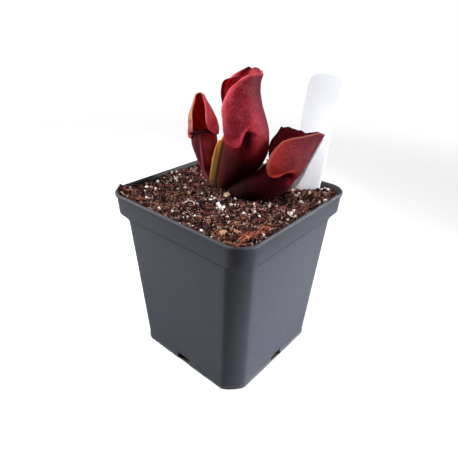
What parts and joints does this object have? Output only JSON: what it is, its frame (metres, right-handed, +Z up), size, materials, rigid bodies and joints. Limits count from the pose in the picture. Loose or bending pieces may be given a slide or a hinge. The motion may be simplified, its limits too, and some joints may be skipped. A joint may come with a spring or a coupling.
{
  "type": "purple pitcher plant",
  "caption": "Young purple pitcher plant, its red hooded pitchers rising from a short crown in a soil-filled, tapered square nursery pot with a blank plant label.",
  "frame": {"origin": "centre of the pot's underside, on the surface it stands on", "axes": "+Z up; the pot's flat walls face +X, -X, +Y and -Y; the label stands in the +X +Y quarter"},
  "size_m": [0.09, 0.09, 0.1533],
  "materials": {
    "pot_plastic": "satin",
    "soil_mix": "rough peat and perlite mix",
    "rhizome_skin": "matt, scarred",
    "pitcher_red": "satin leaf",
    "label_plastic": "satin white"
  },
  "bodies": {
    "root": {"pot": "pot_plastic", "soil": "soil_mix", "rhizome": "rhizome_skin", "pitcher_tall": "pitcher_red", "pitcher_left": "pitcher_red", "pitcher_right": "pitcher_red", "label": "label_plastic"}
  },
  "joints": []
}
